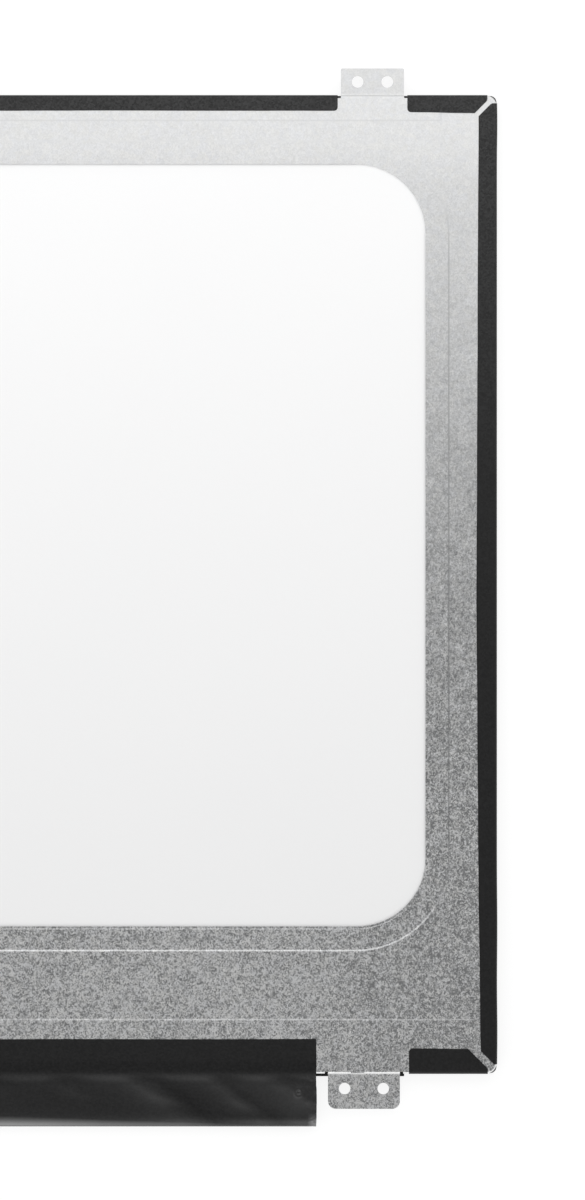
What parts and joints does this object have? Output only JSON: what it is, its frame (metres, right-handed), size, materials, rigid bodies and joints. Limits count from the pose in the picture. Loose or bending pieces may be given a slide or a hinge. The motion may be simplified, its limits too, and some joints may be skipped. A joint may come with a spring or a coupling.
{
  "type": "laptop screen panel",
  "caption": "Slim edge-lit laptop display panel: glass cell and light guide in a folded steel back plate with screw tabs, edge tapes and a film-covered board along the lower edge.",
  "frame": {"origin": "centre of the viewing area, on the screen face", "axes": "+X along the panel's width, to the right seen from behind; +Y to its top edge; +Z out of its back"},
  "size_m": [0.3594, 0.2296, 0.0034],
  "materials": {
    "galvanised_steel": "hot-dip galvanised, fine matt spangle",
    "black_tape": "matt black polyester tape",
    "cover_film": "satin black polyester film, slightly wavy",
    "white_reflector": "satin white foamed film",
    "screen_face": "dark, finely matted against glare",
    "cell_glass": "clear",
    "grey_polariser": "dark grey film",
    "clear_sheet": "clear, finely grooved",
    "clear_acrylic": "clear, polished",
    "black_moulding": "matt black moulding",
    "white_flex": "white printed circuit film",
    "lamp_white": "white moulding with a yellow window",
    "grey_pad": "soft grey pad",
    "amber_film": "amber polyimide film",
    "bare_silicon": "bare silicon",
    "green_board": "green solder mask",
    "black_chip": "black moulded package",
    "grey_ferrite": "dark grey ferrite",
    "tan_ceramic": "tan ceramic",
    "dark_ceramic": "dark ceramic",
    "ivory_moulding": "ivory moulding",
    "tinned_shell": "bright tin plate",
    "gilt_contact": "gilt"
  },
  "bodies": {
    "root": {"back_plate": "galvanised_steel", "top_centre_tape": "black_tape", "top_left_tape": "black_tape", "top_right_tape": "black_tape", "left_side_tape": "black_tape", "right_side_tape": "black_tape", "bottom_left_tape": "black_tape", "bottom_right_tape": "black_tape", "ledge_tape": "black_tape", "rim_tape": "black_tape", "board_cover": "cover_film", "reflector_sheet": "white_reflector", "front_polariser": "screen_face", "colour_filter_glass": "cell_glass", "array_glass": "cell_glass", "rear_polariser": "grey_polariser", "upper_prism_sheet": "clear_sheet", "lower_prism_sheet": "clear_sheet", "diffuser_sheet": "clear_sheet", "light_guide": "clear_acrylic", "mould_frame": "black_moulding", "lamp_flex": "white_flex", "lamps": "lamp_white", "heat_pad": "grey_pad", "driver_film_1": "amber_film", "driver_film_2": "amber_film", "driver_film_3": "amber_film", "driver_film_4": "amber_film", "driver_chip_1": "bare_silicon", "driver_chip_2": "bare_silicon", "driver_chip_3": "bare_silicon", "driver_chip_4": "bare_silicon", "timing_board": "green_board", "timing_chip": "black_chip", "memory_chip": "black_chip", "power_chip": "black_chip", "backlight_chip": "black_chip", "rectifier_diode": "black_chip", "power_coil": "grey_ferrite", "backlight_coil": "grey_ferrite", "capacitors": "tan_ceramic", "resistors": "dark_ceramic", "input_fuse": "dark_ceramic", "socket_body": "ivory_moulding", "socket_shell": "tinned_shell", "socket_contacts": "gilt_contact"}
  },
  "joints": []
}
